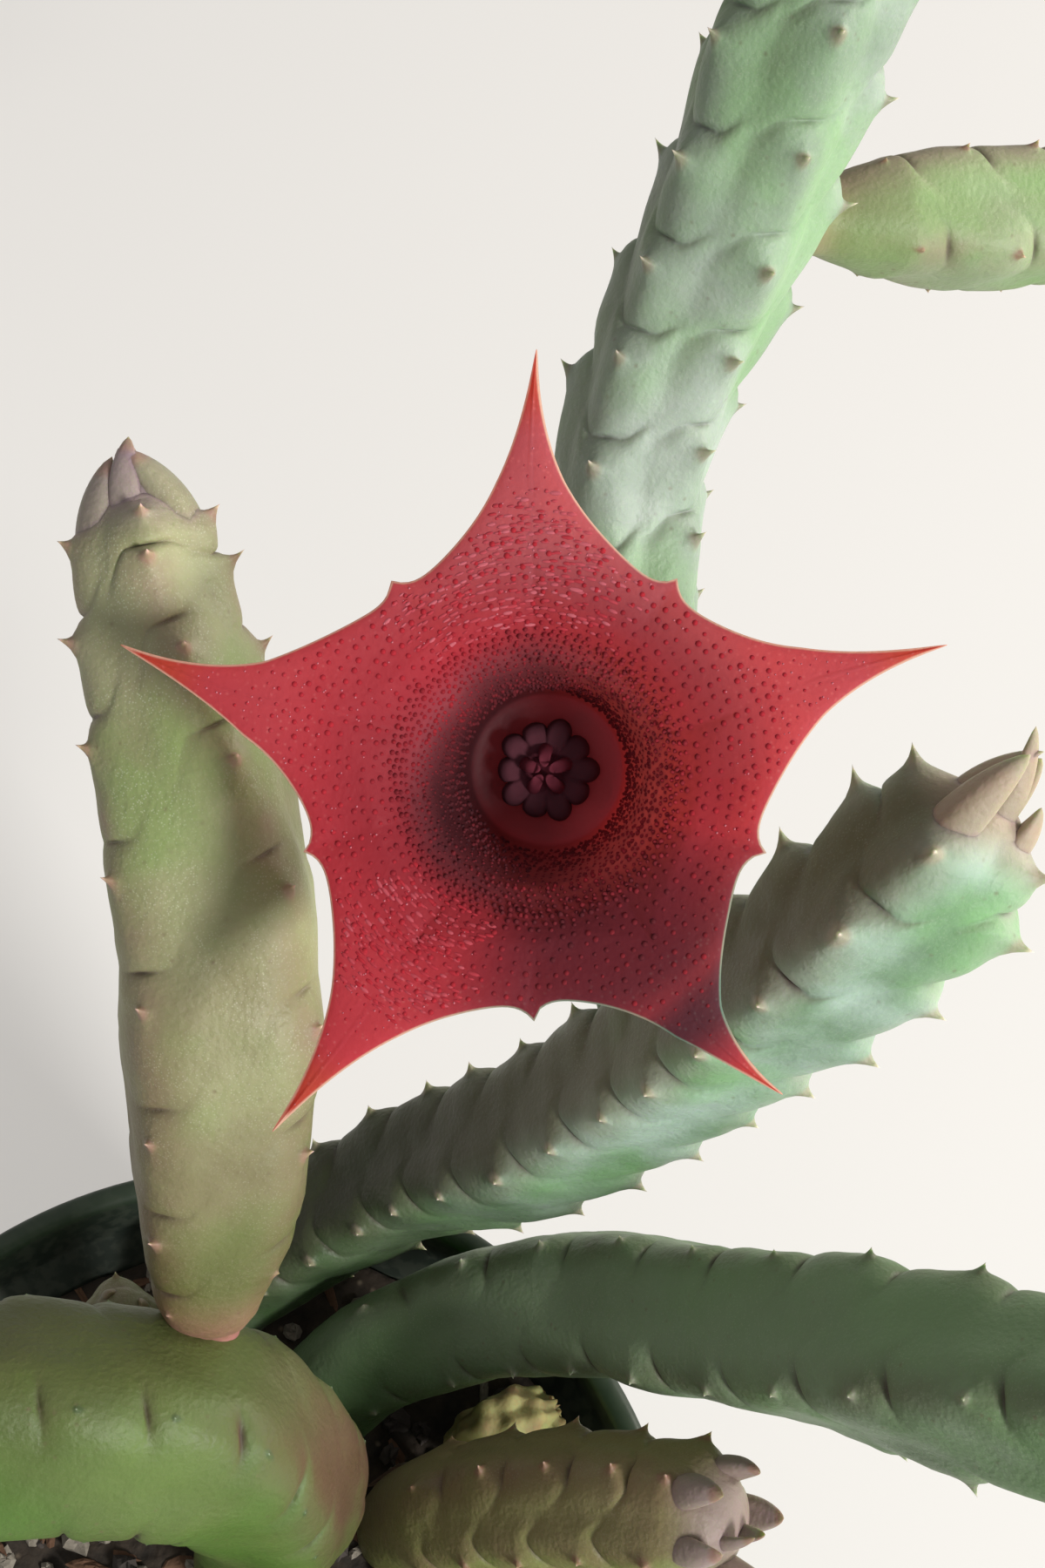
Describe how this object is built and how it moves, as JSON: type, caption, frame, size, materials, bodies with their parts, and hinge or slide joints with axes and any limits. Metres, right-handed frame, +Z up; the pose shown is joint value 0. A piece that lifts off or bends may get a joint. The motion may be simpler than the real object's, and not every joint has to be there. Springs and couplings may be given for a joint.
{
  "type": "potted huernia pendula",
  "caption": "Potted huernia succulent: toothed, finger-like stems arch out of a small round nursery pot and carry a wide red star flower.",
  "frame": {"origin": "centre of the pot's flat underside", "axes": "+Z up; the flower faces -Y and up, and the low left stem runs towards -X"},
  "size_m": [0.1209, 0.1178, 0.1591],
  "materials": {
    "pot": "satin",
    "soil": "matte",
    "stem_olive": "satin",
    "stem_green": "satin",
    "stem_dark": "satin",
    "stem_brown": "satin",
    "petal": "satin",
    "corona": "gloss",
    "stalk": "matte",
    "husk": "matte"
  },
  "bodies": {
    "root": {"pot": "pot", "soil": "soil", "stem_left": "stem_olive", "stem_right": "stem_green", "stem_low": "stem_dark", "stem_front": "stem_brown", "shoot_small": "stem_olive", "flower_petals": "petal", "flower_corona": "corona", "flower_stalk": "stalk", "husk_dry": "husk"}
  },
  "joints": []
}
